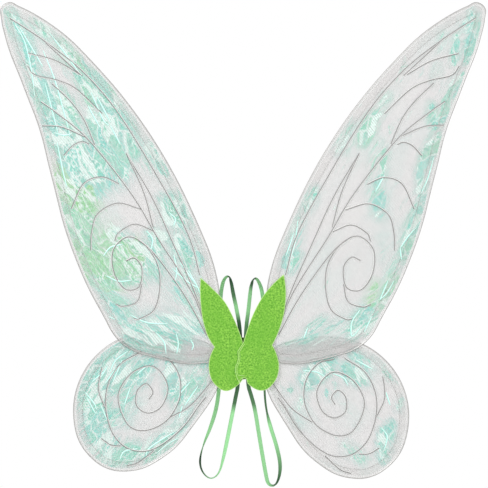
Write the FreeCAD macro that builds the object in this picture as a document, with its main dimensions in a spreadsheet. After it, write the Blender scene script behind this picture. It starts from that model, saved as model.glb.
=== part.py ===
import FreeCAD, Part
import math
import os
from FreeCAD import Placement, Rotation, Vector

# Fairy wings: four organza wings on soft wire frames, sewn between felt covers, with two
# elastic shoulder loops.
#
# Frame: millimetres, +Z up. The origin is on the wearer-side face of the back patch, at the
# height where the felt covers are narrowest. +Y points at the wearer, +X to the right of
# someone who stands behind the wearer and looks at the wings, so "left" pieces are at -X.

doc = FreeCAD.newDocument("FairyWings")

# ---------------------------------------------------------------- driving dimensions

DIMENSIONS = [
    ("fold_offset", 14.0, "distance of each fold line from the middle"),
    ("fold_gap_hub", 0.3, "hub felt stops this far inside the fold line"),
    ("fold_gap_half", 0.7, "front felt of a half starts this far outside the fold line"),
    ("fold_gap_back", 2.6, "back cover of a half starts this far outside the fold line"),
    ("front_face", -11.8, "front face of the felt covers"),
    ("lip_face", -9.9, "front face of the left lip, under the right one"),
    ("upper_face", -9.6, "front face of the upper wings' hems"),
    ("lower_face", -6.6, "front face of the lower wings' hems"),
    ("back_cover_face", -3.6, "front face of the back covers"),
    ("felt_thickness", 1.6, "felt of every cover, lip and patch"),
    ("hem_thickness", 2.6, "hem sleeve over its wire"),
    ("hem_width", 14.0, "hem sleeve, from the edge of the wing inwards"),
    ("hem_turn", 1.3, "from the middle of the wire to the edge of the wing"),
    ("wire_radius", 0.8, "frame wire"),
    ("wire_play", 0.05, "between the wire and its channel"),
    ("wire_tail", 4.5, "distance of the wire's ends from the middle of the eye"),
    ("organza_thickness", 0.4, "each ply of organza"),
    ("film_thickness", 0.3, "iridescent film"),
    ("ply_gap", 0.05, "air between plies"),
    ("pivot_side", 23.0, "distance of each wing's eye from the middle"),
    ("upper_pivot", -5.3, "height of the upper wings' eyes"),
    ("lower_pivot", -22.6, "height of the lower wings' eyes"),
    ("lower_turn", 2.1, "degrees that the lower pair is turned, clockwise from behind"),
    ("crimp_radius", 7.0, "pressed disc that joins the wire's ends"),
    ("crimp_thickness", 2.4, "pressed disc"),
    ("stitch_radius", 1.5, "thread barrel through an eye"),
    ("eye_play", 0.06, "between the thread barrel and the eye"),
    ("strap_width", 6.0, "elastic ribbon"),
    ("anchor_face", -7.9, "front face of the strap anchors"),
    ("anchor_depth", 6.0, "strap anchors, front to back"),
    ("anchor_height", 13.0, "strap anchors"),
    ("top_anchor_width", 18.0, "upper strap anchor"),
    ("top_anchor_z", 2.0, "top of the upper strap anchor"),
    ("bottom_anchor_width", 24.0, "lower strap anchor"),
    ("bottom_anchor_z", -40.0, "underside of the lower strap anchor"),
    ("pad_width", 24.0, "centre pad"),
    ("pad_height", 13.0, "centre pad"),
    ("pad_z", -25.5, "underside of the centre pad"),
    ("patch_width", 27.0, "back patch"),
    ("patch_top", 10.0, "top of the back patch"),
    ("patch_bottom", -46.0, "bottom of the back patch"),
    ("patch_corner", 6.0, "corner radius of the back patch"),
]

sheet = doc.addObject("Spreadsheet::Sheet", "Sheet")
for row, (alias, value, meaning) in enumerate(DIMENSIONS, start=1):
    sheet.set(f"A{row}", alias)
    sheet.set(f"B{row}", str(value))
    sheet.setAlias(f"B{row}", alias)
    sheet.set(f"C{row}", meaning)
doc.recompute()


def size(alias):
    return float(sheet.get(alias))


# ---------------------------------------------------------------- hand-drawn shapes

# The middle line of the wire of a right wing, from its upper end at the root, round the tip
# and back: (x, z) in the whole object's frame, before the lower pair is turned.
UPPER_RIM = [
    (28.5, 9.0), (34.0, 82.0), (72.5, 186.5), (118.0, 270.0), (189.0, 363.0), (250.7, 422.0),
    (298.0, 449.5), (311.5, 454.8), (321.0, 448.0), (320.6, 434.0), (315.4, 410.0), (290.4, 342.0),
    (270.0, 288.0), (254.8, 228.0), (230.2, 137.5), (192.3, 52.3), (157.0, 0.0),
    (109.0, -17.7), (60.0, -24.0), (37.5, -18.5),
]
LOWER_RIM = [
    (34.5, -12.0), (45.0, -1.5), (70.0, 7.2), (114.0, 13.6), (150.0, 8.3), (185.5, -11.8),
    (213.0, -48.0), (222.5, -90.0), (205.0, -147.5), (172.0, -170.3), (140.0, -170.6),
    (97.0, -147.8), (56.0, -96.8), (36.5, -64.7), (28.0, -42.0),
]

# The outlines of the felt covers: smooth stretches that meet at corners.
LEFT_FELT = [
    [(-56.4, 89.5), (-41.5, 76.0), (-25.3, 58.9), (-12.5, 35.9), (-0.4, 4.0)],
    [(-0.4, 4.0), (2.5, -8.0), (3.5, -22.0), (2.0, -36.0), (0.0, -45.0)],
    [(0.0, -45.0), (-10.0, -56.0), (-22.6, -61.2), (-37.0, -53.0), (-45.6, -28.9), (-43.0, -13.0),
     (-38.0, -2.7)],
    [(-38.0, -2.7), (-45.2, 8.0), (-52.0, 27.1), (-56.4, 55.0), (-56.4, 89.5)],
]
RIGHT_FELT = [
    [(54.3, 93.9), (30.6, 70.5), (12.9, 39.9), (4.7, 17.3), (0.6, 4.0)],
    [(0.6, 4.0), (-7.4, -8.5)],
    [(-7.4, -8.5), (-6.8, -18.6), (-10.6, -32.7), (-8.6, -42.6), (-4.3, -51.9)],
    [(-4.3, -51.9), (0.8, -43.5), (8.0, -53.0), (27.0, -60.5), (42.0, -49.0), (47.9, -30.2),
     (45.0, -13.0), (39.0, -0.3)],
    [(39.0, -0.3), (48.5, 20.7), (54.9, 43.9), (56.8, 75.8), (54.3, 93.9)],
]
RIGHT_BACK = [
    [(10.0, 14.0), (32.0, 20.0), (41.0, 6.0)],
    [(41.0, 6.0), (35.0, -5.0)],
    [(35.0, -5.0), (40.0, -26.0), (30.0, -44.0), (10.0, -48.0)],
    [(10.0, -48.0), (10.0, 14.0)],
]

# The routes of the elastic loops, from the upper anchor, over the top fold, down behind the
# wing roots, round the bottom and up to the lower anchor.
LEFT_STRAP = [
    (-3.6, -4.9, 2.0), (-3.6, -4.9, 20.0), (-8.4, 0.5, 47.0), (-13.5, 6.5, 70.0),
    (-16.5, 12.0, 86.0), (-21.0, 21.0, 95.0), (-27.0, 31.0, 89.0), (-30.0, 34.0, 71.0),
    (-31.0, 30.0, 42.0), (-30.2, 26.0, -2.0), (-31.2, 23.0, -48.0), (-34.5, 21.0, -82.0),
    (-43.0, 19.0, -110.0), (-54.0, 17.0, -136.0), (-58.5, 16.0, -157.0), (-54.0, 15.0, -172.0),
    (-43.0, 14.0, -180.5), (-32.0, 13.0, -173.0), (-26.5, 12.0, -153.0), (-21.0, 11.0, -127.0),
    (-14.5, 9.0, -94.0), (-9.5, 2.0, -68.0), (-6.5, -4.9, -54.0), (-6.5, -4.9, -40.0),
]
RIGHT_STRAP = [
    (3.6, -4.9, 2.0), (3.6, -4.9, 20.0), (7.2, 0.5, 46.0), (9.4, 6.5, 68.0),
    (11.2, 12.0, 83.0), (15.5, 21.0, 92.0), (21.0, 30.0, 87.0), (26.0, 34.0, 70.0),
    (28.5, 31.0, 42.0), (29.5, 27.0, 0.0), (28.2, 23.0, -46.0), (29.6, 21.0, -80.0),
    (35.5, 19.0, -107.0), (44.5, 17.5, -134.0), (50.0, 17.0, -158.0), (49.0, 17.0, -176.0),
    (43.5, 17.0, -189.0), (33.5, 12.5, -187.5), (30.0, 12.0, -171.0), (26.0, 12.0, -148.0),
    (20.8, 11.0, -117.0), (16.0, 8.0, -86.0), (10.5, 1.0, -66.0), (6.5, -4.9, -54.0),
    (6.5, -4.9, -40.0),
]


# ---------------------------------------------------------------- curves of tangent arcs

def unit(vector):
    return vector * (1.0 / vector.Length)


def reflected(tangent, chord):
    """The direction at the far end of a single arc that leaves along tangent."""
    along = unit(chord)
    return along * (2.0 * along.dot(tangent)) - tangent


def tangents(points, first=None, last=None):
    """Directions at the points: those of the circle through each point and its neighbours."""
    chords = [b - a for a, b in zip(points, points[1:])]
    inner = [unit(unit(a) * b.Length + unit(b) * a.Length) for a, b in zip(chords, chords[1:])]
    if not inner:
        inner = [unit(chords[0])]
    start = first or reflected(inner[0], chords[0])
    end = last or reflected(inner[-1], chords[-1])
    return [start] + (inner if len(points) > 2 else []) + [end]


def arc(start, corner, end):
    """The arc from start to end whose tangents meet at corner."""
    middle = (start + end) * 0.5
    rise = corner - middle
    half_chord = (end - start).Length / 2.0
    if rise.Length < 1e-4 * half_chord:
        return Part.LineSegment(start, end)
    turn = math.atan2(rise.Length, half_chord)
    sagitta = half_chord * math.tan(turn / 2.0)
    return Part.Arc(start, middle + unit(rise) * sagitta, end)


def arc_chain(outline, first=None, last=None):
    """A smooth chain of tangent arcs through the points of an outline, two arcs to a span."""
    points = [Vector(x, y, 0) for x, y in outline]
    pieces = []
    directions = tangents(points, first, last)
    for (p, q), (t, u) in zip(zip(points, points[1:]), zip(directions, directions[1:])):
        span = q - p
        both = t + u
        spread = 2.0 * (1.0 - t.dot(u))
        if spread < 1e-9:
            reach = span.dot(span) / (2.0 * span.dot(both))
        else:
            reach = (math.sqrt(span.dot(both) ** 2 + spread * span.dot(span)) - span.dot(both)) / spread
        near = p + t * reach
        far = q - u * reach
        joint = (near + far) * 0.5
        pieces.append(arc(p, near, joint))
        pieces.append(arc(joint, far, q))
    return pieces


def joined(pieces):
    """One wire of curves that meet end to end."""
    return Part.Wire([piece.toShape() for piece in pieces])


def cornered_outline(stretches):
    pieces = []
    for stretch in stretches:
        if len(stretch) == 2:
            ends = [Vector(x, y, 0) for x, y in stretch]
            pieces.append(Part.LineSegment(*ends))
        else:
            pieces.extend(arc_chain(stretch))
    return joined(pieces)


# ---------------------------------------------------------------- building blocks

def sketch_curve(edge):
    """The sketch geometry of one edge of a flat outline."""
    start, end = (vertex.Point for vertex in edge.Vertexes)
    if isinstance(edge.Curve, Part.Line):
        return Part.LineSegment(start, end)
    middle = edge.valueAt((edge.FirstParameter + edge.LastParameter) / 2.0)
    return Part.Arc(start, middle, end)


def origin_plane(body, role):
    return next(feature for feature in body.Origin.OriginFeatures if feature.Role == role)


def flat_body(name, wires, thickness):
    """A body of the outlines in wires (the first is outside), standing in XZ, from y = 0 to thickness."""
    body = doc.addObject("PartDesign::Body", name)
    sketch = body.newObject("Sketcher::SketchObject", name + "_outline")
    sketch.AttachmentSupport = (origin_plane(body, "XZ_Plane"), [""])
    sketch.MapMode = "FlatFace"
    sketch.addGeometry([sketch_curve(edge) for wire in wires for edge in wire.OrderedEdges], False)
    pad = body.newObject("PartDesign::Pad", name + "_pad")
    pad.Profile = sketch
    pad.Reversed = True
    pad.setExpression("Length", "Sheet." + thickness)
    return body


def box(name, width, depth, height, corner):
    """A plain box whose sizes are bound to cells, with its low corner at corner."""
    block = doc.addObject("Part::Box", name)
    block.setExpression("Length", "Sheet." + width)
    block.setExpression("Width", "Sheet." + depth)
    block.setExpression("Height", "Sheet." + height)
    block.Placement = Placement(Vector(*corner), Rotation())
    return block


def barrel(name, radius, height):
    """A cylinder along +Y from y = 0."""
    cylinder = doc.addObject("Part::Cylinder", name)
    cylinder.setExpression("Radius", radius)
    cylinder.setExpression("Height", height)
    cylinder.Placement = Placement(Vector(), Rotation(Vector(1, 0, 0), -90))
    return cylinder


def cut(name, base, tool):
    result = doc.addObject("Part::Cut", name)
    result.Base = base
    result.Tool = tool
    return result


def common(name, base, tool):
    result = doc.addObject("Part::Common", name)
    result.Base = base
    result.Tool = tool
    return result


def round_sweep(name, path, start, direction, radius):
    """A round bar along a path of arcs and runs that starts at start, in direction."""
    spine = doc.addObject("Part::Feature", name + "_path")
    spine.Shape = path
    section = doc.addObject("Part::Circle", name + "_section")
    section.setExpression("Radius", radius)
    section.Placement = Placement(start, Rotation(Vector(0, 0, 1), direction))
    sweep = doc.addObject("Part::Sweep", name)
    sweep.Sections = [section]
    sweep.Spine = (spine, [f"Edge{number}" for number in range(1, len(path.Edges) + 1)])
    sweep.Solid = True
    sweep.Frenet = False
    return sweep


sub_parts = []


def keep(node, label, placement=None):
    """Names a finished sub-part, and stands it in its place."""
    if placement is not None:
        node.Placement = placement
    node.Label = label
    sub_parts.append(node)


# ---------------------------------------------------------------- wings

def upright(point):
    """A point of a flat outline, stood up in XZ."""
    return Vector(point.x, 0, point.y)


def wing(side_name, side, level, rim_points, pivot_z, face, turn):
    """One wing: wire, hem, three plies and crimp, each built about the wing's own eye."""
    name = f"{side_name}_{level}"
    local = [(side * (x - size("pivot_side")), z - pivot_z) for x, z in rim_points]
    out = unit(Vector(*local[0], 0))
    back = unit(Vector(*local[-1], 0)) * -1.0
    rim = arc_chain(local, out, back)
    wire_start = out * size("wire_tail")
    wire_end = back * -size("wire_tail")
    closing = Part.LineSegment(Vector(*local[-1], 0), Vector(*local[0], 0))
    rim_loop = joined(rim + [closing])

    first_tail = Part.LineSegment(wire_start, Vector(*local[0], 0))
    last_tail = Part.LineSegment(Vector(*local[-1], 0), wire_end)
    path = joined([first_tail] + rim + [last_tail])
    path.Placement = Placement(Vector(0, size("hem_thickness") / 2.0, 0), Rotation(Vector(1, 0, 0), 90))
    start = upright(wire_start) + Vector(0, size("hem_thickness") / 2.0, 0)

    edge_loop = rim_loop.makeOffset2D(size("hem_turn"))
    inner_loop = rim_loop.makeOffset2D(size("hem_turn") - size("hem_width"))
    sheet_loop = rim_loop.makeOffset2D(size("hem_turn") - size("hem_width") - size("ply_gap"))

    place = Placement(Vector(side * size("pivot_side"), face, pivot_z), Rotation(Vector(0, 1, 0), turn))

    frame_wire = round_sweep(name + "_wire_bar", path, start, upright(out), "Sheet.wire_radius")
    keep(frame_wire, name + "_wire", place)

    blank = flat_body(name + "_hem_blank", [edge_loop, inner_loop], "hem_thickness")
    channel_radius = "Sheet.wire_radius + Sheet.wire_play"
    channel = round_sweep(name + "_channel", path, start, upright(out), channel_radius)
    keep(cut(name + "_hem_sleeve", blank, channel), name + "_hem", place)

    plies = size("organza_thickness") * 2.0 + size("film_thickness") + size("ply_gap") * 2.0
    depth = (size("hem_thickness") - plies) / 2.0
    for ply, thickness in (
        ("front_organza", "organza_thickness"),
        ("film", "film_thickness"),
        ("back_organza", "organza_thickness"),
    ):
        body = flat_body(f"{name}_{ply}_body", [sheet_loop], thickness)
        keep(body, f"{name}_{ply}", place * Placement(Vector(0, depth, 0), Rotation()))
        depth += size(thickness) + size("ply_gap")

    disc = barrel(name + "_disc", "Sheet.crimp_radius", "Sheet.crimp_thickness")
    eye = barrel(name + "_eye", "Sheet.stitch_radius + Sheet.eye_play", "Sheet.crimp_thickness")
    crimp_inset = (size("hem_thickness") - size("crimp_thickness")) / 2.0
    crimp_place = place * Placement(Vector(0, crimp_inset, 0), Rotation())
    keep(cut(name + "_crimp_disc", disc, eye), name + "_root_crimp", crimp_place)


def root_stitch(side_name, side, level, pivot_z):
    """The thread barrel that a wing's eye turns on, from the front cover to the back cover."""
    name = f"{side_name}_{level}_root_stitch"
    front = size("front_face") + size("felt_thickness")
    length = "Sheet.back_cover_face - Sheet.front_face - Sheet.felt_thickness"
    thread = barrel(name + "_barrel", "Sheet.stitch_radius", length)
    place = Placement(Vector(side * size("pivot_side"), front, pivot_z), thread.Placement.Rotation)
    keep(thread, name, place)


for side_name, side in (("left", -1), ("right", 1)):
    wing(side_name, side, "upper", UPPER_RIM, size("upper_pivot"), size("upper_face"), 0.0)
    wing(side_name, side, "lower", LOWER_RIM, size("lower_pivot"), size("lower_face"), size("lower_turn"))
    root_stitch(side_name, side, "upper", size("upper_pivot"))
    root_stitch(side_name, side, "lower", size("lower_pivot"))


# ---------------------------------------------------------------- felt covers

FELT_REACH = 120.0   # half height of the zone boxes, past every felt outline


def zone(name, gap, away):
    """A box about the middle that ends beside the fold lines, outside them (away 1) or inside (-1)."""
    block = doc.addObject("Part::Box", name)
    block.setExpression("Length", f"2 * (Sheet.fold_offset + {away} * Sheet.{gap})")
    block.setExpression("Width", "3 * Sheet.felt_thickness")
    block.Height = 2.0 * FELT_REACH
    reach = size("fold_offset") + away * size(gap)
    block.Placement = Placement(Vector(-reach, -size("felt_thickness"), -FELT_REACH), Rotation())
    return block


for side_name, outline, lip_face in (
    ("left", LEFT_FELT, "lip_face"),
    ("right", RIGHT_FELT, "front_face"),
):
    loop = cornered_outline(outline)
    cover_blank = flat_body(side_name + "_cover_blank", [loop], "felt_thickness")
    cover = cut(side_name + "_cover", cover_blank, zone(side_name + "_cover_zone", "fold_gap_half", 1))
    keep(cover, side_name + "_felt_cover", Placement(Vector(0, size("front_face"), 0), Rotation()))
    lip_blank = flat_body(side_name + "_lip_blank", [loop], "felt_thickness")
    lip = common(side_name + "_lip", lip_blank, zone(side_name + "_lip_zone", "fold_gap_hub", -1))
    keep(lip, side_name + "_felt_lip", Placement(Vector(0, size(lip_face), 0), Rotation()))

for side_name, side in (("left", -1), ("right", 1)):
    outline = [[(side * x, z) for x, z in stretch] for stretch in RIGHT_BACK]
    back_blank = flat_body(side_name + "_back_blank", [cornered_outline(outline)], "felt_thickness")
    back = cut(side_name + "_back", back_blank, zone(side_name + "_back_zone", "fold_gap_back", 1))
    keep(back, side_name + "_back_cover", Placement(Vector(0, size("back_cover_face"), 0), Rotation()))


# ---------------------------------------------------------------- centre

def rounded_rectangle(low_x, low_z, high_x, high_z, radius):
    corners = [
        (high_x - radius, low_z + radius, -90),
        (high_x - radius, high_z - radius, 0),
        (low_x + radius, high_z - radius, 90),
        (low_x + radius, low_z + radius, 180),
    ]
    pieces = []
    last = None
    for x, z, start in corners:
        turn = [math.radians(start + part) for part in (0, 45, 90)]
        points = [Vector(x + radius * math.cos(a), z + radius * math.sin(a), 0) for a in turn]
        if last is not None:
            pieces.append(Part.LineSegment(last, points[0]))
        pieces.append(Part.Arc(*points))
        last = points[2]
    pieces.append(Part.LineSegment(last, Vector(high_x - radius, low_z, 0)))
    return joined(pieces)


half_patch = size("patch_width") / 2.0
patch_loop = rounded_rectangle(
    -half_patch, size("patch_bottom"), half_patch, size("patch_top"), size("patch_corner")
)
patch = flat_body("patch", [patch_loop], "felt_thickness")
keep(patch, "back_patch", Placement(Vector(0, -size("felt_thickness"), 0), Rotation()))

anchor_face = size("anchor_face")
top_corner = (-size("top_anchor_width") / 2.0, anchor_face, size("top_anchor_z") - size("anchor_height"))
keep(box("top_anchor", "top_anchor_width", "anchor_depth", "anchor_height", top_corner), "top_strap_anchor")
bottom_corner = (-size("bottom_anchor_width") / 2.0, anchor_face, size("bottom_anchor_z"))
keep(
    box("bottom_anchor", "bottom_anchor_width", "anchor_depth", "anchor_height", bottom_corner),
    "bottom_strap_anchor",
)
pad_corner = (-size("pad_width") / 2.0, anchor_face, size("pad_z"))
keep(box("pad", "pad_width", "anchor_depth", "pad_height", pad_corner), "centre_pad")


# ---------------------------------------------------------------- elastic loops

ARC_SHARE = 0.45   # part of the shorter run that a bend may use


def strap(name, route):
    """A round bar along straight runs joined by arcs as large as the runs allow."""
    points = [Vector(*point) for point in route]
    edges = []
    radii = []
    last = points[0]
    for before, corner, after in zip(points, points[1:], points[2:]):
        come = corner - before
        leave = after - corner
        reach = ARC_SHARE * min(come.Length, leave.Length)
        turn = come.getAngle(leave)
        radii.append(reach / math.tan(turn / 2.0))
        enter = corner - unit(come) * reach
        depart = corner + unit(leave) * reach
        bend = arc(enter, corner, depart)
        edges.append(Part.LineSegment(last, enter).toShape())
        edges.append(bend.toShape())
        last = depart
    edges.append(Part.LineSegment(last, points[-1]).toShape())
    path = Part.Wire(edges)
    bar = round_sweep(name + "_bar", path, points[0], points[1] - points[0], "Sheet.strap_width / 2")
    keep(bar, name)
    return path, radii


strap_paths = {
    "left_strap": strap("left_strap", LEFT_STRAP),
    "right_strap": strap("right_strap", RIGHT_STRAP),
}


# ---------------------------------------------------------------- checks and files

doc.recompute()
for thing in doc.Objects:
    if "Invalid" in thing.State or "Error" in thing.State:
        raise RuntimeError(f"{thing.Name} failed: {thing.State}")
for node in sub_parts:
    if node.Shape.isNull() or not node.Shape.isValid():
        raise RuntimeError(f"{node.Label} has no valid shape")

for node in sub_parts:
    if node.Label in strap_paths:
        path, radii = strap_paths[node.Label]
        expected = math.pi * (size("strap_width") / 2.0) ** 2 * path.Length
        print(f"{node.Label}: length {path.Length:.1f} mm")
        print(f"  volume {node.Shape.Volume:.0f} of {expected:.0f} mm3")
        print("  bend radii, mm: " + " ".join(f"{radius:.1f}" for radius in radii))

os.makedirs("parts", exist_ok=True)
for node in sub_parts:
    node.Shape.exportStep(f"parts/{node.Label}.step")
print(f"{len(sub_parts)} sub-parts written")
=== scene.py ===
import math

import bpy
import numpy as np
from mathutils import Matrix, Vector, noise
from mathutils.geometry import delaunay_2d_cdt


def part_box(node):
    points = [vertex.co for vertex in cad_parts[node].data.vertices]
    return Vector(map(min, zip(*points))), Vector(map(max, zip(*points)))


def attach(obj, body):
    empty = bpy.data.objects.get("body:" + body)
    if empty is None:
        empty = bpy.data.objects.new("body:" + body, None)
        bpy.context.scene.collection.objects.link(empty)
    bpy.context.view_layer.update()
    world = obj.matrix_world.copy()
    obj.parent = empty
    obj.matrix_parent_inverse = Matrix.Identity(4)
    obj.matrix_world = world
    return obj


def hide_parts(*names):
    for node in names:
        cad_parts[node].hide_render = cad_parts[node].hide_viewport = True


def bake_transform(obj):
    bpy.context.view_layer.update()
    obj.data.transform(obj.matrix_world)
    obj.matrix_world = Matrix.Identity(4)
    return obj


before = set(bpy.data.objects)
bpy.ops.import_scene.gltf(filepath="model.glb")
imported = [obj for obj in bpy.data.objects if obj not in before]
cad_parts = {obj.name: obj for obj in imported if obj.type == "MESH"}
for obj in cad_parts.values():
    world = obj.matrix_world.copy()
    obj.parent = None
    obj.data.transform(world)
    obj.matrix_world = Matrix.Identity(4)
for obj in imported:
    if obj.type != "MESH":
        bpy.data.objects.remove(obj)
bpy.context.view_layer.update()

# Fairy wings: looks built round the imported frame, in metres, +Z up and the camera looking along
# +Y. Flat shapes are read from the frame's own nodes. Lists of points are in
# millimetres, as (x, z) or, for the elastic loops, as (x, y, z), and MM turns them into metres.

MM = 0.001


# ---------------------------------------------------------------- camera, light and stage

FRAME_WIDTH = 0.649          # what the view takes in, at the wings
VIEW_CENTRE = Vector((0.0013, -0.009, 0.1343))
LENS = 300.0                 # a long lens, so that depth hardly shows
SENSOR = 36.0
FLOOR_Z = -0.45
FLOOR_RADIUS = 2.5
AMBIENT = 0.74               # the studio's even light
BACKDROP = 1.0               # what the camera sees behind the object
CLOTH_LAYERS = 48            # light may pass through this many

# Each light's name, place, side in metres and power in watts.
SOFT_BOXES = [
    ("key", (-1.4, -2.2, 1.7), 1.0, 42),
    ("fill", (1.8, -2.0, 0.2), 1.6, 12),
    ("rim", (0.6, 2.2, 1.4), 1.2, 16),
]


def place_camera():
    data = bpy.data.cameras.new("camera")
    data.lens = LENS
    data.sensor_width = SENSOR
    camera = bpy.data.objects.new("camera", data)
    bpy.context.scene.collection.objects.link(camera)
    camera.location = VIEW_CENTRE + Vector((0, -FRAME_WIDTH * LENS / SENSOR, 0))
    camera.rotation_euler = (math.radians(90), 0, 0)
    data.clip_end = 100
    bpy.context.scene.camera = camera


def soft_box(name, place, side, power):
    data = bpy.data.lights.new(name, "AREA")
    data.shape = "SQUARE"
    data.size = side
    data.energy = power
    light = bpy.data.objects.new(name, data)
    bpy.context.scene.collection.objects.link(light)
    light.location = place
    light.rotation_euler = (VIEW_CENTRE - Vector(place)).to_track_quat("-Z", "Y").to_euler()


def light_stage():
    """Even white light, with a key from the upper left and a weak rim from behind."""
    world = bpy.data.worlds.new("studio")
    bpy.context.scene.world = world
    world.use_nodes = True
    nodes = world.node_tree.nodes
    links = world.node_tree.links
    nodes.clear()
    path = nodes.new("ShaderNodeLightPath")
    mix = nodes.new("ShaderNodeMixShader")
    output = nodes.new("ShaderNodeOutputWorld")
    links.new(path.outputs["Is Camera Ray"], mix.inputs["Fac"])
    for number, strength in ((1, AMBIENT), (2, BACKDROP)):
        light = nodes.new("ShaderNodeBackground")
        light.inputs["Strength"].default_value = strength
        light.inputs["Color"].default_value = (1, 1, 1, 1)
        links.new(light.outputs[0], mix.inputs[number])
    links.new(mix.outputs[0], output.inputs["Surface"])
    for box in SOFT_BOXES:
        soft_box(*box)
    bpy.context.scene.view_settings.view_transform = "Standard"
    bpy.context.scene.cycles.transparent_max_bounces = CLOTH_LAYERS


place_camera()
light_stage()


# ---------------------------------------------------------------- numbers and outlines

def smooth(value):
    """An S-shaped rise from 0 at 0 to 1 at 1, held beyond them."""
    value = np.clip(value, 0.0, 1.0)
    return value * value * (3.0 - 2.0 * value)


def mixed(first, second, share):
    return first + (second - first) * share


def ripple(points, scale, seed):
    """Smooth noise from about -1 to 1 at (x, z) points, its features about scale across."""
    return np.array([noise.noise(Vector((x / scale, seed, z / scale))) for x, z in points]) * 1.6


def outline(node):
    """The outer edge of a flat CAD node, as (x, z) points anticlockwise from the front."""
    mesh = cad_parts[node].data
    front = min(vertex.co.y for vertex in mesh.vertices)
    place = [(round(vertex.co.x, 6), round(vertex.co.z, 6)) for vertex in mesh.vertices]
    steps = set()
    for face in mesh.polygons:
        if face.normal.y < -0.99 and face.center.y < front + 0.01 * MM:
            corners = [place[index] for index in face.vertices]
            steps.update(zip(corners, corners[1:] + corners[:1]))
    after = {a: b for a, b in sorted(steps) if (b, a) not in steps}
    loops = []
    while after:
        start = min(after)
        here = after.pop(start)
        loop = [start]
        while here != start:
            loop.append(here)
            here = after.pop(here)
        loops.append(np.array(loop))
    return max(loops, key=lambda loop: np.ptp(loop[:, 0]) * np.ptp(loop[:, 1]))


def travelled(line):
    """How far along a line of points each of them is."""
    return np.concatenate([[0], np.cumsum(np.linalg.norm(np.diff(line, axis=0), axis=1))])


def placed(line, at):
    """The points at the given distances along a line of points."""
    along = travelled(line)
    return np.stack([np.interp(at, along, values) for values in line.T], axis=1)


def unit_rows(vectors):
    return vectors / np.linalg.norm(vectors, axis=1)[:, None]


CORNER = math.radians(30)    # a turn sharper than this is kept as a corner


def evenly(loop, step):
    """A closed outline again, with its corners kept and points about step apart between them."""
    ahead = np.roll(loop, -1, axis=0) - loop
    heading = np.arctan2(ahead[:, 1], ahead[:, 0])
    turn = (heading - np.roll(heading, 1) + math.pi) % (2 * math.pi) - math.pi
    corners = [int(index) for index in np.flatnonzero(np.abs(turn) > CORNER)] or [0]
    made = []
    for first, last in zip(corners, corners[1:] + [corners[0] + len(loop)]):
        stretch = loop[np.arange(first, last + 1) % len(loop)]
        length = travelled(stretch)[-1]
        made.append(placed(stretch, np.linspace(0, length, max(1, round(length / step)) + 1)[:-1]))
    return np.concatenate(made)


def depth_inside(points, loop):
    """How far each point lies inside a closed outline; below 0 outside it."""
    points = np.asarray(points, float)
    nearest = np.full(len(points), np.inf)
    inside = np.zeros(len(points), bool)
    for start, end in zip(loop, np.roll(loop, -1, axis=0)):
        run = end - start
        away = points - start
        share = np.clip(away @ run / max(run @ run, 1e-18), 0, 1)
        nearest = np.minimum(nearest, np.hypot(*(away - share[:, None] * run).T))
        spans = (start[1] > points[:, 1]) != (end[1] > points[:, 1])
        rise = run[1] if run[1] else 1.0
        inside ^= spans & (points[:, 0] < start[0] + away[:, 1] / rise * run[0])
    return np.where(inside, nearest, -nearest)


def inset(loop, depth):
    """A closed outline moved in by depth, without the points that would cross over."""
    along = np.roll(loop, -1, axis=0) - np.roll(loop, 1, axis=0)
    along /= np.hypot(*along.T)[:, None]
    moved = loop + depth * np.stack([-along[:, 1], along[:, 0]], axis=1)
    return moved[depth_inside(moved, loop) > 0.985 * depth]


def honeycomb(loop, spacing, clear):
    """Points in a triangular grid that lie at least clear inside an outline."""
    low, high = loop.min(axis=0), loop.max(axis=0)
    row_height = spacing * math.sqrt(3) / 2
    rows = []
    for number, z in enumerate(np.arange(low[1], high[1], row_height)):
        across = np.arange(low[0] + spacing / 2 * (number % 2), high[0], spacing)
        rows.append(np.stack([across, np.full(len(across), z)], axis=1))
    grid = np.concatenate(rows)
    return grid[depth_inside(grid, loop) > clear]


def filled(rim, others, wanted):
    """Triangles over a closed rim and other (x, z) points, where wanted(their middles) holds."""
    points = np.concatenate([rim] + list(others))
    ring = [(index, (index + 1) % len(rim)) for index in range(len(rim))]
    made = delaunay_2d_cdt([Vector(point) for point in points], ring, [], 0, 1e-7)
    places = np.array([tuple(point) for point in made[0]])
    faces = np.array([face for face in made[2]])
    a, b, c = (places[faces[:, k]] for k in range(3))
    first, second = b - a, c - a
    backwards = first[:, 0] * second[:, 1] < first[:, 1] * second[:, 0]
    faces[backwards] = faces[backwards][:, ::-1]
    faces = faces[wanted((a + b + c) / 3)]
    used, renumbered = np.unique(faces, return_inverse=True)
    return places[used], renumbered.reshape(-1, 3)


# ---------------------------------------------------------------- pieces

def new_piece(name, verts, faces, material, fields=None):
    """A smooth-shaded mesh object, with a value or a vector for each vertex in fields."""
    mesh = bpy.data.meshes.new(name)
    corners = [tuple(map(float, vert)) for vert in verts]
    mesh.from_pydata(corners, [], [tuple(map(int, face)) for face in faces])
    mesh.shade_smooth()
    for field, values in (fields or {}).items():
        values = np.asarray(values, np.float32)
        if values.ndim == 2:
            layer = mesh.attributes.new(field, "FLOAT_VECTOR", "POINT")
            layer.data.foreach_set("vector", values.ravel())
        else:
            layer = mesh.attributes.new(field, "FLOAT", "POINT")
            layer.data.foreach_set("value", values)
    mesh.materials.append(material)
    piece = bpy.data.objects.new(name, mesh)
    bpy.context.scene.collection.objects.link(piece)
    return piece


def stood_up(points, y):
    """(x, z) points at depth y, as (x, y, z)."""
    return np.stack([points[:, 0], np.broadcast_to(y, len(points)), points[:, 1]], axis=1)


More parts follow.
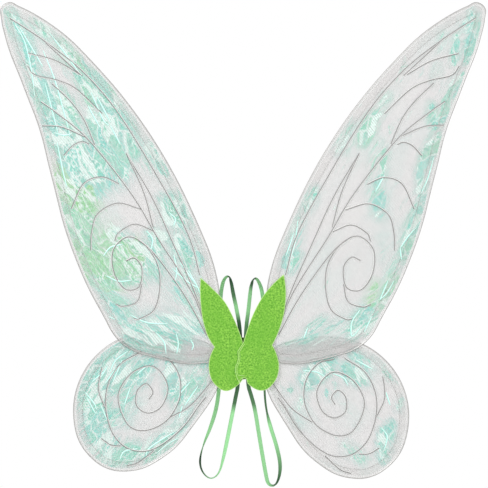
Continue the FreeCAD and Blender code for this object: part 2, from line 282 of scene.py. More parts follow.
def slab(points, faces, front, back):
    """A closed skin: the same triangles at y = front and y = back, with walls round their edges."""
    count = len(points)
    skin = [tuple(face) for face in faces]
    skin += [tuple(index + count for index in reversed(face)) for face in faces]
    directed = {pair for face in faces for pair in zip(face, np.roll(face, -1))}
    for a, b in sorted(directed):
        if (b, a) not in directed:
            skin.append((b, a, a + count, b + count))
    return np.concatenate([stood_up(points, front), stood_up(points, back)]), skin


def skin_round(rings, corners):
    """The faces of a closed tube whose vertices are so many rings of so many corners."""
    faces = []
    for ring in range(rings - 1):
        for k in range(corners):
            a, b = ring * corners + k, ring * corners + (k + 1) % corners
            faces.append((a, b, b + corners, a + corners))
    last = (rings - 1) * corners
    return faces + [tuple(reversed(range(corners))), tuple(range(last, last + corners))]


def tube(line, across, sides, swell=None):
    """A closed tube along a line of 3-D points. across is its (width, thickness), and the width
    lies in XZ. Its corners go round from the line's left."""
    line = np.asarray(line, float)
    along = unit_rows(np.gradient(line, axis=0))
    side = unit_rows(np.cross(along, (0, 1, 0)))
    up = np.cross(side, along)
    swell = np.ones(len(line)) if swell is None else np.asarray(swell)
    turns = np.arange(sides) * 2 * math.pi / sides
    verts = []
    for turn in turns:
        reach = side * across[0] / 2 * math.cos(turn) + up * across[1] / 2 * math.sin(turn)
        verts.append(line + reach * swell[:, None])
    return np.stack(verts, axis=1).reshape(-1, 3), skin_round(len(line), sides)


def gathered(parts):
    """Several (verts, faces) as one."""
    verts, faces, count = [], [], 0
    for some, theirs in parts:
        verts.append(some)
        faces += [tuple(index + count for index in face) for face in theirs]
        count += len(some)
    return np.concatenate(verts), faces


def joined_tubes(name, body, tubes, material, sides=None):
    """Several tubes as one piece that rides on a body. Given how many corners they have round
    them, it also gets its field side, from 1 to -1 across each tube."""
    verts, faces = gathered(tubes)
    corners = np.arange(len(verts))
    fields = {"side": np.cos(corners % sides * 2 * math.pi / sides)} if sides else None
    piece = new_piece(name, verts, faces, material, fields)
    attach(piece, body)
    return piece


def through(points, step):
    """A smooth curve through (x, z) points in millimetres, as points in metres about step apart."""
    points = np.array(points, float) * MM
    ends = [2 * points[0] - points[1], 2 * points[-1] - points[-2]]
    padded = np.concatenate([[ends[0]], points, [ends[1]]])
    made = []
    for p0, p1, p2, p3 in zip(padded, padded[1:], padded[2:], padded[3:]):
        count = max(2, round(float(np.hypot(*(p2 - p1))) / step))
        t = np.arange(count)[:, None] / count
        bend = 2 * p1 + (p2 - p0) * t + (2 * p0 - 5 * p1 + 4 * p2 - p3) * t**2
        made.append((bend + (3 * p1 - p0 - 3 * p2 + p3) * t**3) / 2)
    return np.concatenate(made + [points[-1:]])


# ---------------------------------------------------------------- materials

def paint(red, green, blue):
    """A colour as it shows on a screen, 0 to 255, turned into linear light."""
    shares = np.array([red, green, blue]) / 255
    return tuple(float(share) for share in ((shares + 0.055) / 1.055) ** 2.4)


class Recipe:
    """A material while its shader nodes are being put together."""

    def __init__(self, name, **values):
        self.material = bpy.data.materials.new(name)
        self.material.use_nodes = True
        self.tree = self.material.node_tree
        self.skin = self.tree.nodes["Principled BSDF"]
        for socket, value in values.items():
            self.feed(self.skin.inputs[socket.replace("_", " ")], value)

    def feed(self, socket, value):
        if isinstance(value, bpy.types.NodeSocket):
            self.tree.links.new(value, socket)
        elif isinstance(value, tuple) and socket.type == "RGBA":
            socket.default_value = (*value, 1.0)
        else:
            socket.default_value = value

    def node(self, kind, inputs=None, **settings):
        made = self.tree.nodes.new("ShaderNode" + kind)
        for setting, value in settings.items():
            setattr(made, setting, value)
        for socket, value in (inputs or {}).items():
            self.feed(made.inputs[socket], value)
        return made

    def field(self, name):
        return self.node("Attribute", attribute_name=name).outputs["Fac"]

    def place(self, name):
        return self.node("Attribute", attribute_name=name).outputs["Vector"]

    def maths(self, kind, *terms):
        made = self.node("Math", operation=kind)
        for socket, term in zip(made.inputs, terms):
            self.feed(socket, term)
        return made.outputs[0]

    def times(self, first, second):
        return self.maths("MULTIPLY", first, second)

    def plus(self, first, second):
        return self.maths("ADD", first, second)

    def between(self, value, low, high, start=0.0, end=1.0):
        """value's place from low to high, as a number from start to end, held at the ends."""
        inputs = {"Value": value, "From Min": low, "From Max": high, "To Min": start, "To Max": end}
        return self.node("MapRange", inputs).outputs[0]

    def tint(self, share, first, second):
        """The colour first, turning into second as share goes from 0 to 1."""
        made = self.node("Mix", data_type="RGBA")
        for number, value in ((0, share), (6, first), (7, second)):
            self.feed(made.inputs[number], value)
        return made.outputs[2]

    def grain(self, where, per_metre, detail=2.0):
        """Smooth noise, 0 to 1, with so many features to the metre along each axis."""
        scaled = self.node("Mapping", {"Vector": where, "Scale": per_metre}).outputs[0]
        return self.node("TexNoise", {"Vector": scaled, "Scale": 1.0, "Detail": detail}).outputs[0]

    def threads(self, where, direction, pitch):
        """Parallel bands, 0 to 1, pitch apart in metres."""
        turned = self.node("Mapping", {"Vector": where, "Rotation": direction}).outputs[0]
        inputs = {"Vector": turned, "Scale": math.pi / 10 / pitch, "Distortion": 0.0}
        return self.node("TexWave", inputs, bands_direction="X").outputs["Fac"]

    def raised(self, height, depth):
        """Lets height, 0 to 1, stand up by depth metres."""
        made = self.node("Bump", {"Height": height, "Distance": depth, "Strength": 1.0})
        self.feed(self.skin.inputs["Normal"], made.outputs[0])

    def done(self, **values):
        for socket, value in values.items():
            self.feed(self.skin.inputs[socket.replace("_", " ")], value)
        return self.material


def organza_cloth():
    """Pale cloth that half shows what is behind it, with a diagonal weave and cloudy patches. Its
    field veil is how much it hides, 0 to 1."""
    recipe = Recipe("organza", Roughness=0.55)
    where = recipe.place("rest")
    clouds = recipe.grain(where, (16, 16, 16), 3.0)
    warp = recipe.threads(where, (0, math.radians(38), 0), 2.9 * MM)
    fine = recipe.grain(where, (380, 380, 380), 2.0)
    weave = recipe.plus(recipe.times(warp, 0.45), fine)
    dense = recipe.plus(recipe.field("veil"), recipe.between(weave, 0.4, 1.05, -0.11, 0.11))
    dense = recipe.plus(dense, recipe.between(clouds, 0.3, 0.7, -0.03, 0.03))
    colour = recipe.tint(clouds, paint(202, 200, 199), paint(212, 212, 210))
    return recipe.done(Base_Color=colour, Alpha=dense)


def hem_cloth():
    """The doubled organza of a hem, with fine lines along it."""
    recipe = Recipe("hem_organza", Roughness=0.5)
    where = recipe.place("rest")
    lines = recipe.maths("SINE", recipe.times(recipe.field("from_edge"), 2 * math.pi / (2.3 * MM)))
    rim = recipe.between(recipe.field("from_edge"), 0.5 * MM, 1.5 * MM, 1.0, 0.0)
    clouds = recipe.grain(where, (30, 30, 30), 3.0)
    dense = recipe.between(lines, -1.0, 1.0, 0.08, 0.21)
    dense = recipe.plus(dense, recipe.between(clouds, 0.3, 0.7, -0.03, 0.03))
    dense = recipe.plus(dense, recipe.times(rim, 0.22))
    colour = recipe.tint(rim, paint(216, 214, 212), paint(150, 145, 144))
    return recipe.done(Base_Color=colour, Alpha=dense)


def iridescent_film():
    """Thin crumpled film. Its facets gleam mint or green where it is creased, with painted white
    highlights on facets, flecks and creases, and it is nearly clear elsewhere."""
    recipe = Recipe("iridescent_film", Roughness=0.22)
    grain = recipe.place("grain")
    bend = recipe.between(recipe.grain(grain, (22, 40, 1), 2.0), 0.0, 1.0, -0.012, 0.012)
    where = recipe.node("VectorMath", {0: grain, 1: bend}, operation="ADD").outputs[0]
    folds = recipe.node("Mapping", {"Vector": where, "Scale": (26, 135, 1)}).outputs[0]
    cells = {"Vector": folds, "Scale": 1.0}
    facet = recipe.node("TexVoronoi", cells, feature="F1").outputs["Color"]
    facet = recipe.node("SeparateColor", {"Color": facet}).outputs
    ridge = recipe.node("TexVoronoi", cells, feature="DISTANCE_TO_EDGE").outputs["Distance"]
    streaks = recipe.grain(where, (34, 330, 1), 3.0)
    flecks = recipe.grain(where, (230, 330, 1), 2.0)
    wide = recipe.grain(grain, (11, 26, 1), 1.0)

    broken = recipe.plus(recipe.times(facet["Red"], 0.55), recipe.times(streaks, 1.5))
    gleam = recipe.plus(recipe.times(recipe.field("gleam"), 1.2), broken)
    gleam = recipe.between(recipe.plus(gleam, recipe.times(flecks, 0.7)), 1.66, 2.0)
    tone = recipe.plus(recipe.field("tone"), recipe.between(facet["Blue"], 0.0, 1.0, -0.15, 0.2))
    mint = recipe.tint(tone, paint(8, 214, 198), paint(84, 210, 74))
    mint = recipe.tint(recipe.between(streaks, 0.32, 0.5, 0.8, 0.0), mint, paint(36, 172, 156))
    # Painted highlight: white glints on some facets and flecks.
    painted_glint = recipe.between(recipe.plus(facet["Green"], flecks), 1.12, 1.3, 0.0, 0.95)
    mint = recipe.tint(painted_glint, mint, paint(236, 255, 249))
    mint = recipe.tint(recipe.between(flecks, 0.45, 0.66, 0.0, 0.45), mint, paint(222, 252, 244))
    wash = recipe.times(recipe.field("wash"), recipe.between(streaks, 0.3, 0.62, 0.35, 1.0))
    # Painted highlight: a white line along the facets' creases, strongest where the film gleams.
    crease_highlight = recipe.between(ridge, 0.01, 0.05, 1.0, 0.0)
    crease_highlight = recipe.times(crease_highlight, recipe.between(recipe.field("gleam"), 0.05, 0.5, 0.1, 0.9))
    base = recipe.tint(recipe.between(wide, 0.4, 0.6), paint(214, 202, 212), paint(196, 222, 220))
    washed = recipe.tint(recipe.field("tone"), paint(66, 212, 196), paint(84, 212, 96))
    base = recipe.tint(wash, base, washed)
    faint = recipe.between(recipe.plus(streaks, wide), 0.8, 1.2, 0.04, 0.26)
    faint = recipe.plus(faint, recipe.times(wash, 0.5))

    share = recipe.between(facet["Green"], 0.0, 1.0, 0.58, 0.9)
    alpha = recipe.maths("MAXIMUM", recipe.times(gleam, share), faint)
    alpha = recipe.maths("MAXIMUM", alpha, recipe.times(crease_highlight, 0.6))
    colour = recipe.tint(crease_highlight, recipe.tint(gleam, base, mint), paint(236, 255, 250))
    recipe.raised(recipe.plus(streaks, facet["Red"]), 0.4 * MM)
    return recipe.done(Base_Color=colour, Alpha=alpha)


def felt():
    """Lime felt: mottled, fibrous, and paler along its cut edges."""
    recipe = Recipe("green_felt", Roughness=0.95, Sheen_Weight=0.12, Sheen_Roughness=0.6)
    where = recipe.place("rest")
    broad = recipe.grain(where, (60, 60, 30), 2.0)
    mottle = recipe.grain(where, (430, 430, 430), 4.0)
    fibres = recipe.grain(where, (1100, 1100, 500), 3.0)
    colour = recipe.tint(recipe.between(mottle, 0.38, 0.62), paint(70, 145, 16), paint(138, 202, 68))
    colour = recipe.tint(recipe.between(broad, 0.38, 0.62, 0.0, 0.5), colour, paint(90, 168, 30))
    colour = recipe.tint(recipe.between(fibres, 0.4, 0.72, 0.0, 0.4), colour, paint(165, 212, 100))
    colour = recipe.tint(recipe.times(recipe.field("cut"), 0.8), colour, paint(206, 240, 160))
    recipe.raised(recipe.plus(recipe.times(mottle, 0.6), recipe.times(fibres, 0.4)), 0.9 * MM)
    return recipe.done(Base_Color=colour)


def woven(name, light, dark):
    """Knitted green band: cords along it, fine stitches across, and painted shade."""
    recipe = Recipe(name, Roughness=0.75)
    band = recipe.place("band")
    stitches = recipe.threads(band, (0, 0, 0), 0.9 * MM)
    flecks = recipe.grain(band, (700, 1400, 1), 2.0)
    # Painted shade: a darker strip along one edge of the band.
    edge = recipe.between(recipe.node("SeparateXYZ", {0: band}).outputs["Y"], 1.2 * MM, 2.4 * MM, 0.0, 0.4)
    # light is the lit colour; dark is the painted shade, laid on by the field shade and the edge strip.
    colour = recipe.tint(recipe.maths("MAXIMUM", recipe.field("shade"), edge), light, dark)
    # The knit's stitches and flecks also darken it a little towards dark, as pattern.
    ribbed = recipe.between(recipe.plus(recipe.times(stitches, 0.5), flecks), 0.4, 1.2, 0.0, 0.2)
    recipe.raised(stitches, 0.15 * MM)
    return recipe.done(Base_Color=recipe.tint(ribbed, colour, dark))


def two_sided(name, lit, shaded):
    """A raised line with a painted highlight along one side and painted shade along the other."""
    recipe = Recipe(name, Roughness=0.6)
    side = recipe.between(recipe.field("side"), 0.1, 0.6)
    return recipe.done(Base_Color=recipe.tint(side, shaded, lit))


def metal(name, colour, roughness):
    recipe = Recipe(name, Metallic=1.0, Roughness=roughness)
    where = recipe.node("TexCoord").outputs["Object"]
    worn = recipe.grain(where, (300, 300, 300), 3.0)
    return recipe.done(Base_Color=recipe.tint(worn, colour, tuple(0.8 * share for share in colour)))


def spun(name, colour):
    """Sewing thread."""
    recipe = Recipe(name, Roughness=0.7)
    where = recipe.node("TexCoord").outputs["Object"]
    twist = recipe.grain(where, (900, 900, 900), 2.0)
    return recipe.done(Base_Color=recipe.tint(twist, tuple(0.82 * share for share in colour), colour))


ORGANZA = organza_cloth()
HEM = hem_cloth()
FILM = iridescent_film()
FELT = felt()
# Each band's first colour is lit and its second is its painted shade, also used by the knit.
ELASTIC = woven("green_elastic", paint(170, 240, 170), paint(8, 58, 26))
TAPE = woven("anchor_tape", paint(96, 176, 84), paint(40, 110, 50))
STEEL = metal("frame_wire", paint(226, 226, 224), 0.4)
CRIMP = metal("crimp", paint(188, 186, 178), 0.3)
# Folds: painted highlight along one side, painted shade along the other.
FOLD_GLINT = two_sided("fold_glint", paint(240, 255, 252), paint(186, 244, 232))
# Veins: painted highlight along one side; the grey side is the thread's grey, darkened as painted shade.
VEIN_THREAD = two_sided("vein_thread", paint(244, 245, 243), paint(144, 142, 141))
HEM_THREAD = spun("hem_thread", paint(162, 159, 157))
SEAM_THREAD = spun("seam_thread", paint(190, 232, 140))
GREEN_THREAD = spun("green_thread", paint(96, 168, 60))


# ---------------------------------------------------------------- the wings' own shapes

SIDES = {"left": -1, "right": 1}
EYES = {"upper": (23.0, -5.3), "lower": (23.0, -22.6)}      # where each right wing turns
LOWER_SET = math.radians(2.1)        # both lower wings hang turned by this, about +Y
PANEL_START = 4.0 * MM               # the plies begin this far inside the hem
PLY_GAP = 0.6 * MM
SWELL = {"upper": -4.5 * MM, "lower": 4.5 * MM}     # upper wings belly forwards, lower ones back
SWELL_RISE = 70 * MM                 # the belly is full this far inside the edge
ROOT_FLAT = 60 * MM                  # and the cloth lies flat this near the root
ROOT_RISE = 80 * MM
BROAD_WAVE = 75 * MM
SMALL_WAVE = 30 * MM
UPPER_LEAN = math.radians(57)        # an upper wing's long axis, up from level
CREASE_SLANT = math.radians(52)      # how a lower wing's creases slant


class Wing:
    """One wing's outline, its depth, and how its cloth bellies."""

    def __init__(self, side, tier):
        self.name = f"{side}_{tier}"
        self.body = f"{self.name}_wing"
        self.tier = tier
        self.sign = SIDES[side]
        self.edge = evenly(outline(f"{self.name}_hem"), 3.0 * MM)
        low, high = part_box(f"{self.name}_hem")
        self.y = (low.y + high.y) / 2
        self.eye = np.array([self.sign * EYES[tier][0], EYES[tier][1]]) * MM
        self.panel = inset(self.edge, PANEL_START)

    def belly(self, points):
        """How far back the cloth stands from flat at (x, z) points."""
        rise = smooth((depth_inside(points, self.edge) - PANEL_START) / SWELL_RISE)
        away = np.hypot(*(points - self.eye).T)
        rise *= smooth((away - ROOT_FLAT) / ROOT_RISE)
        waves = 0.6 + 0.25 * ripple(points, BROAD_WAVE, 1.0) + 0.15 * ripple(points, SMALL_WAVE, 4.0)
        return SWELL[self.tier] * rise * waves

    def grain(self, points):
        """(x, z) points as (distance along the creases, distance across them). They fan out from
        the root of an upper wing and slant over a lower one."""
        away = (points - self.eye) * (self.sign, 1)
        if self.tier == "upper":
            along = np.hypot(*away.T)
            across = (np.arctan2(away[:, 1], away[:, 0]) - UPPER_LEAN) * (0.08 + 0.6 * along)
        else:
            c, s = math.cos(CREASE_SLANT), math.sin(CREASE_SLANT)
            along = 1.5 * (away[:, 0] * c - away[:, 1] * s)
            across = 1.1 * (away[:, 0] * s + away[:, 1] * c)
        return np.stack([along, across, np.zeros(len(points))], axis=1)

    def from_pattern(self, points):
        """A right wing's (x, z) pattern points in millimetres, laid on this wing."""
        laid = np.array(points, float) * (self.sign, 1)
        if self.tier == "lower":
            eye = self.eye / MM
            x, z = (laid - eye).T
            c, s = math.cos(LOWER_SET), math.sin(LOWER_SET)
            laid = eye + np.stack([x * c + z * s, z * c - x * s], axis=1)
        return laid


WINGS = [Wing(side, tier) for side in SIDES for tier in EYES]


# ---------------------------------------------------------------- hems and their stitches

# Half the sleeve's thickness at depths in from its edge, in millimetres. The wire runs at 1.3.
SLEEVE = [(0, 0.1), (0.3, 0.8), (0.8, 1.2), (1.3, 1.3), (1.9, 1.15), (2.4, 0.75), (3.0, 0.5),
          (3.8, 0.7), (6.0, 0.85), (9.0, 0.95), (12.2, 0.85), (12.9, 0.7), (14.0, 0.6)]
HEM_DEPTH = 14 * MM
STITCH_ROWS = (3.2 * MM, 12.6 * MM)
STITCH = 2.2 * MM
STITCH_GAP = 0.8 * MM
THREAD = 0.44 * MM
THREAD_SIDES = 5             # corners round a thread
PUCKER = 0.12 * MM           # how uneven the sleeve is, beyond the wire


def sleeve_half(depth):
    depths, halves = zip(*SLEEVE)
    return np.interp(depth, np.array(depths) * MM, np.array(halves) * MM)


def hem_sleeve(wing, stitches):
    """Organza folded round the wire and open along its inner edge."""
    rings = [inset(wing.edge, depth * MM) for depth, half in SLEEVE[1:]]
    points, faces = filled(wing.edge, rings, lambda at: (0 < depth_inside(at, wing.edge))
                           & (depth_inside(at, wing.edge) < HEM_DEPTH))
    depth = depth_inside(points, wing.edge)
    depth = np.where(np.abs(depth) < 0.02 * MM, 0.0, depth)
    loose = smooth((depth - 3 * MM) / (2 * MM))
    half = sleeve_half(depth) + PUCKER * ripple(points, 9 * MM, 2.0) * loose
    verts, skin = slab(points, faces, wing.y - half, wing.y + half)
    at_fold = [len(face) == 3 or depth[face[0]] < 1 * MM for face in skin]
    skin = [face for face, kept in zip(skin, at_fold) if kept]
    fields = {"from_edge": np.tile(depth, 2), "rest": verts}
    piece = new_piece(f"{wing.name}_hem_sleeve", verts, skin, HEM, fields)
    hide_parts(f"{wing.name}_hem")
    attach(piece, wing.body)


def running_stitch(loop, depths, radius):
    """Dashes along a closed line of (x, z) points, at the given y for each point."""
    line = stood_up(loop, depths)
    closed = np.vstack([line, line[:1]])
    length = travelled(closed)[-1]
    count = int(length // (STITCH + STITCH_GAP))
    made = []
    for start in np.arange(count) * length / count:
        dash = placed(closed, start + np.linspace(0, STITCH, 4))
        made.append(tube(dash, (radius * 2, radius * 2), THREAD_SIDES, (0.5, 1, 1, 0.5)))
    return made


def hem_stitches(wing):
    made = []
    for row in STITCH_ROWS:
        loop = inset(wing.edge, row)
        half = sleeve_half(depth_inside(loop, wing.edge))
        for way in (-1, 1):
            made += running_stitch(loop, wing.y + way * (half + 0.05 * MM), THREAD / 2)
    return joined_tubes(f"{wing.name}_hem_stitches", wing.body, made, HEM_THREAD)


# ---------------------------------------------------------------- organza, film and veins

# Stitched veins of a right wing, in millimetres.
VEINS = {
    "upper": [
        [(310, 435), (263, 404), (213, 364), (166, 309), (113, 223), (73, 148), (57, 93)],
        [(262, 402), (237, 379), (214, 358)],
        [(218, 360), (250, 378), (286, 388)],
        [(188, 308), (222, 340), (248, 352), (277, 359), (287, 371)],
        [(254, 348), (229, 324), (212, 301), (197, 267)],
        [(269, 324), (248, 309), (210, 278), (172, 233), (140, 189), (114, 144), (83, 96), (63, 61),
         (49, 24)],
        [(267, 292), (241, 290), (210, 277)],
        [(205, 267), (214, 270), (226, 265), (238, 252)],
        [(165, 214), (188, 223), (212, 214), (228, 181)],
        [(136, 180), (167, 188), (193, 174), (201, 150), (202, 126)],
        [(119, 151), (144, 160), (165, 149), (170, 138)],
        [(155, 255), (121, 197), (93, 136), (66, 75), (52, 36)],
        [(155, 255), (132, 204), (119, 157)],
        [(156, 112), (144, 116), (134, 102), (138, 77), (157, 74), (172, 96), (173, 126), (154, 144),
         (132, 135), (114, 109), (110, 79), (117, 48), (136, 35), (145, 35)],
        [(134, 81), (140, 58), (159, 51), (169, 54)],
        [(142, 142), (121, 125), (95, 92), (70, 54), (48, 13)],
    ],
    "lower": [
        [(124, -76), (119, -66), (128, -56), (139, -66), (139, -85), (124, -94), (107, -85), (99, -61),
         (109, -40), (125, -32), (148, -43), (163, -67), (161, -90), (147, -113), (125, -117), (100, -104),
         (85, -80), (82, -58), (87, -38), (101, -21), (121, -15)],
        [(135, -13), (163, -31), (178, -58), (180, -90), (170, -122), (151, -141), (126, -145), (102, -134),
         (76, -110), (57, -82), (48, -70)],
        [(187, -36), (190, -52), (190, -68), (181, -90)],
        [(159, -140), (172, -139), (185, -131)],
        [(114, -144), (134, -161), (149, -166)],
        [(40, -49), (67, -82), (95, -100)],
    ],
}
VEIN_WIDTH = 2.2 * MM
VEIN_HEIGHT = 0.6 * MM
VEIN_STEP = 1.1 * MM
VEIN_CLEAR = 4 * MM          # veins stop this far from the wing's edge
SIDES_ROUND = 6              # corners round a vein or a fold

# Sharp folds in each film, in millimetres, painted with a highlight on one side, shade on the other.
FOLDS = {
    "left_upper": [
        [(-303, 426), (-290, 402), (-281, 363), (-277, 330)], [(-297, 422), (-279, 392), (-266, 370)],
        [(-266, 392), (-250, 352), (-234, 295), (-230, 277)], [(-263, 348), (-253, 309), (-246, 282)],
        [(-257, 415), (-227, 375), (-214, 355)], [(-250, 282), (-238, 279), (-227, 281)],
        [(-247, 269), (-239, 229), (-234, 210)], [(-202, 336), (-186, 300), (-178, 292)],
        [(-194, 330), (-176, 296)], [(-206, 318), (-190, 289)], [(-176, 292), (-163, 266)],
        [(-84, 110), (-57, 73)], [(-73, 100), (-60, 76), (-52, 57)], [(-94, 102), (-76, 86), (-60, 76)],
        [(-182, 92), (-166, 85), (-148, 86)], [(-186, 118), (-176, 130), (-160, 134)],
        [(-128, 152), (-120, 140), (-124, 122)], [(-98, 176), (-90, 168), (-92, 158)],
        [(-92, 120), (-88, 100), (-90, 86)], [(-116, 17), (-105, 4), (-102, -12)],
        [(-89, 15), (-86, 2), (-88, -12)], [(-70, 7), (-66, 0), (-68, -7)],
        [(-204, 60), (-190, 44), (-170, 34)], [(-150, 40), (-128, 30), (-100, 28)],
    ],
    "left_lower": [
        [(-211, -62), (-198, -78), (-195, -86)], [(-208, -70), (-196, -92)], [(-190, -78), (-181, -100)],
        [(-186, -36), (-201, -49)], [(-180, -28), (-190, -44)], [(-153, -8), (-169, -20), (-177, -36)],
        [(-161, -20), (-173, -49)], [(-168, -30), (-184, -52)], [(-70, -49), (-84, -65), (-85, -73)],
        [(-60, -55), (-78, -81)], [(-81, -81), (-85, -97)], [(-164, -153), (-158, -142), (-140, -138)],
        [(-129, -150), (-124, -137), (-92, -116)], [(-116, -145), (-100, -132), (-81, -121)],
        [(-142, -40), (-128, -28)], [(-150, -56), (-158, -80)],
    ],
    "right_upper": [
        [(209, 129), (211, 113)], [(209, 129), (221, 146), (235, 161)], [(193, 86), (182, 60)],
        [(182, 60), (192, 70), (201, 86)], [(156, 47), (145, 31), (145, 12), (156, 23)],
        [(172, 39), (161, 17)], [(73, 166), (70, 140), (63, 113)], [(68, 150), (57, 118)],
        [(81, 9), (86, 23)], [(254, 250), (246, 222), (236, 200)], [(188, 226), (176, 204)],
    ],
    "right_lower": [
        [(184, -110), (192, -122), (188, -140)], [(80, -34), (98, -36), (112, -44)],
        [(120, -38), (134, -44), (140, -54)], [(190, -62), (196, -80)], [(150, -20), (172, -32)],
    ],
}
FOLD_WIDTH = 2.1 * MM
FOLD_HEIGHT = 0.6 * MM
FOLD_STEP = 1.5 * MM

# Where each film gleams: strokes (x, z, x, z, width) in millimetres, strength, and tone from
# 0 for teal mint to 1 for yellow green.
GLEAMS = {
    "left_upper": [
        (-313, 443, -290, 406, 5, 0.8, 0.1), (-290, 408, -278, 352, 5, 0.9, 0.1),
        (-279, 359, -273, 318, 7, 0.8, 0.1), (-263, 348, -250, 297, 8, 1, 0),
        (-254, 302, -239, 257, 12, 0.95, 0), (-243, 332, -227, 294, 8, 1, 0.2),
        (-238, 398, -227, 379, 8, 0.9, 0.3), (-273, 428, -259, 414, 8, 0.6, 0.2),
        (-222, 379, -211, 354, 8, 0.7, 0.1), (-209, 358, -177, 321, 17, 1, 0.2),
        (-182, 315, -152, 259, 16, 1, 0.1), (-203, 313, -189, 266, 9, 0.7, 0.1),
        (-230, 299, -217, 257, 9, 0.9, 0.1), (-243, 251, -239, 235, 7, 0.7, 0.9),
        (-230, 257, -214, 219, 15, 1, 0), (-237, 223, -212, 188, 23, 1.1, 0.9),
        (-232, 193, -209, 132, 17, 1, 0.6), (-211, 259, -201, 211, 12, 0.9, 0.1),
        (-193, 273, -177, 239, 11, 1, 0.1), (-177, 281, -166, 246, 9, 1, 0.1),
        (-214, 238, -169, 233, 29, 0.75, 0), (-211, 225, -198, 201, 8, 0.8, 0.2),
        (-201, 110, -146, 116, 35, 1, 0.75), (-196, 90, -158, 88, 8, 1, 0.4),
        (-165, 142, -149, 118, 12, 0.9, 0.1), (-132, 126, -118, 100, 13, 1, 0.1),
        (-124, 142, -105, 145, 8, 0.8, 0.1), (-116, 140, -116, 118, 7, 0.8, 0.1),
        (-100, 186, -84, 166, 16, 0.9, 0.1), (-81, 196, -76, 172, 7, 0.7, 0.1),
        (-86, 142, -74, 108, 9, 0.85, 0.1), (-124, 262, -102, 230, 12, 0.6, 0.1),
        (-60, 132, -57, 108, 9, 0.5, 0.1), (-84, 100, -63, 47, 19, 0.4, 0),
        (-150, 15, -60, 25, 19, 0.7, 0), (-185, 80, -161, 36, 13, 0.6, 0.1),
        (-172, 60, -156, 41, 11, 0.8, 0.1), (-153, 7, -110, -7, 11, 0.7, 0.1),
        (-164, 110, -142, 92, 16, 0.7, 0.3), (-92, 7, -88, -9, 8, 0.7, 0.1),
    ],
    "left_lower": [
        (-209, -44, -153, -1, 17, 0.8, 0), (-174, -57, -158, -9, 15, 0.8, 0),
        (-193, -41, -169, -52, 16, 0.95, 0), (-214, -52, -196, -41, 16, 0.8, 0),
        (-213, -65, -196, -86, 12, 0.9, 0.1), (-188, -70, -181, -102, 7, 0.9, 0.1),
        (-201, -93, -193, -126, 12, 1, 0), (-193, -121, -174, -153, 19, 0.6, 0),
        (-166, -148, -142, -140, 11, 0.8, 0.1), (-129, -148, -78, -113, 12, 0.7, 0.1),
        (-86, -73, -60, -47, 11, 0.9, 0.1), (-76, -70, -63, -52, 7, 0.9, 0.1),
        (-98, -23, -90, -66, 9, 0.7, 0), (-94, -61, -92, -64, 8, 1, 0),
        (-153, -52, -126, -23, 12, 0.8, 0), (-156, -41, -156, -86, 11, 0.6, 0),
        (-173, -105, -157, -86, 9, 0.6, 0), (-76, -44, -47, -23, 13, 0.5, 0),
        (-76, -89, -84, -113, 7, 0.6, 0),
    ],
    "right_upper": [
        (311, 427, 297, 379, 9, 0.85, 0.1), (303, 443, 311, 424, 8, 0.7, 0.1),
        (293, 360, 274, 329, 12, 0.6, 0.1), (274, 336, 266, 297, 11, 0.45, 0.1),
        (285, 411, 281, 374, 7, 0.5, 0.2), (266, 411, 267, 395, 7, 0.35, 0.2),
        (259, 371, 255, 347, 5, 0.4, 0.2), (174, 305, 158, 271, 11, 1, 0.3),
        (190, 331, 180, 305, 8, 0.5, 0.3), (251, 318, 255, 289, 7, 0.8, 0.2),
        (257, 275, 239, 238, 11, 1, 0.2), (145, 289, 126, 259, 13, 0.4, 0.1),
        (180, 270, 169, 219, 8, 0.4, 0.2), (188, 259, 180, 211, 8, 0.4, 0.2),
        (177, 219, 181, 173, 13, 0.5, 0.1), (235, 235, 241, 177, 9, 0.7, 0.1),
        (235, 182, 214, 116, 11, 0.85, 0.2), (201, 86, 184, 52, 11, 0.85, 0.5),
        (176, 81, 169, 48, 11, 0.5, 0.8), (160, 44, 145, 12, 11, 0.9, 0.1),
        (177, 44, 164, 17, 9, 0.7, 0.2), (76, 164, 55, 105, 13, 0.5, 0.1),
        (74, 120, 63, 102, 7, 0.8, 0.1), (105, 33, 81, 7, 12, 0.6, 0.1),
        (60, 0, 130, 6, 12, 0.3, 0.2), (113, 20, 145, 17, 19, 0.35, 0.1),
        (189, 140, 193, 108, 11, 0.3, 0.1), (203, 110, 193, 84, 9, 0.45, 0.2),
        (94, 206, 84, 180, 11, 0.45, 0.1), (294, 432, 302, 414, 8, 0.5, 0.1),
    ],
    "right_lower": [
        (82, -44, 117, -21, 13, 0.9, 0), (85, -53, 114, -36, 8, 0.95, 0.1),
        (138, -31, 158, -47, 16, 0.8, 0), (146, -13, 157, -24, 8, 0.7, 0),
        (162, -33, 174, -23, 9, 0.4, 0), (112, -68, 121, -52, 11, 0.4, 0),
        (196, -108, 184, -132, 11, 0.9, 0), (186, -126, 188, -153, 8, 0.8, 0),
        (207, -84, 214, -70, 7, 0.5, 0), (136, -134, 158, -153, 11, 0.4, 0.1),
        (80, -70, 72, -105, 9, 0.35, 0.1), (188, -29, 209, -48, 16, 0.35, 0.1),
        (81, -7, 97, -1, 11, 0.4, 0.1), (61, -59, 65, -59, 7, 0.5, 0),
    ],
}
CLOTH_STEP = 4 * MM          # between points of an organza ply
FILM_STEP = 2.2 * MM
CRUMPLE = 0.4 * MM           # how deep the film's small creases are
CREASE_SIZE = (26 * MM, 6 * MM)      # and how long and how wide
FRONT_VEIL = 0.31
BACK_VEIL = 0.50             # the back ply is the closer weave
PLAIN_TONE = 0.2             # the film's tone away from every stroke
WASH_REACH = 9 * MM          # a paler tint spreads this much further round each stroke
FILM_SPREAD = {"left": 1.0, "right": 0.66}      # the right wings' film is creased more narrowly


